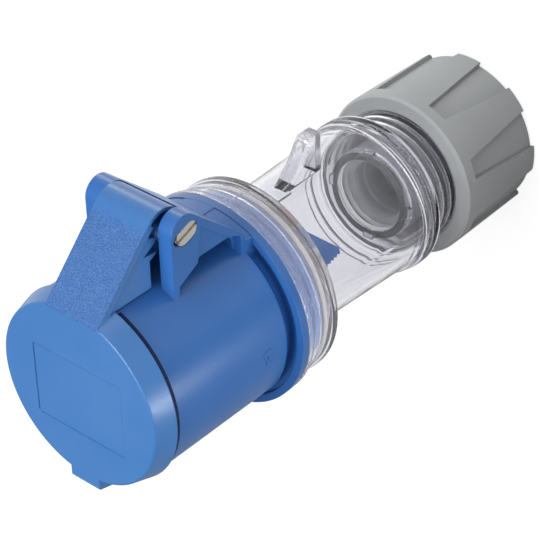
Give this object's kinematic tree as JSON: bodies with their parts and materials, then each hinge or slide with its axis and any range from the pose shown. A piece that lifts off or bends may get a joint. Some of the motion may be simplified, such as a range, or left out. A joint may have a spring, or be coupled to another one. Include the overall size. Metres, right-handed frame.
{
  "type": "industrial coupler",
  "caption": "Blue industrial trailing socket for a cable end, with a sprung hinged lid, a clear tapered rear housing with a hanging lug, and a ribbed grey gland nut.",
  "frame": {"origin": "on the coupler's axis, at the end face of the gland nut that it stands on", "axes": "+Z along the coupler's axis from the gland to the lid, +Y towards the lid's hinge, +X to complete the right-handed set"},
  "size_m": [0.055, 0.07, 0.146],
  "materials": {
    "gland_nut": "satin",
    "pressure_ring": "satin",
    "clamp_cage": "clear",
    "gland_seal": "soft",
    "clear_housing": "clear",
    "housing_seal": "soft",
    "front_shell": "satin",
    "hinge_pin": "satin",
    "lid_spring": "bright",
    "lid": "satin",
    "lid_seal": "soft",
    "contact_carrier": "satin",
    "contact": "bright",
    "terminal_block": "satin",
    "terminal_screws": "bright",
    "marker_line": "satin",
    "marker_neutral": "satin",
    "marker_earth": "satin",
    "serrated_guide": "satin"
  },
  "bodies": {
    "housing": {"clear_housing": "clear_housing", "housing_seal": "housing_seal", "clamp_cage": "clamp_cage", "gland_seal": "gland_seal"},
    "front": {"front_shell": "front_shell", "hinge_pin": "hinge_pin", "lid_spring": "lid_spring", "contact_carrier": "contact_carrier", "contact_line": "contact", "contact_neutral": "contact", "contact_earth": "contact", "terminal_block": "terminal_block", "terminal_screws": "terminal_screws", "marker_line": "marker_line", "marker_neutral": "marker_neutral", "marker_earth": "marker_earth", "serrated_guide": "serrated_guide"},
    "lid": {"lid": "lid", "lid_seal": "lid_seal"},
    "press": {"pressure_ring": "pressure_ring"},
    "nut": {"gland_nut": "gland_nut"}
  },
  "joints": [
    {"name": "front_twist", "type": "hinge", "parent": "housing", "child": "front", "pos_m": [0, 0, 0.0874], "axis": [0, 0, 1], "range_deg": [0, 30]},
    {"name": "lid_hinge", "type": "hinge", "parent": "front", "child": "lid", "pos_m": [0, 0.0363, 0.1237], "axis": [-1, 0, 0], "range_deg": [0, 110], "stiffness_Nm_per_rad": 0.03, "springref_deg": -45.84, "deforming": ["lid_spring"]},
    {"name": "gland_press", "type": "slide", "parent": "housing", "child": "press", "axis": [0, 0, 1], "range_m": [-0.009, 0.006]},
    {"name": "gland_turn", "type": "hinge", "parent": "press", "child": "nut", "pos_m": [0, 0, 0], "axis": [0, 0, 1], "range_deg": [-1080, 720]}
  ],
  "couplings": [
    {"joint": "gland_turn", "follows": "gland_press", "rad_per_m": 2094.4}
  ]
}
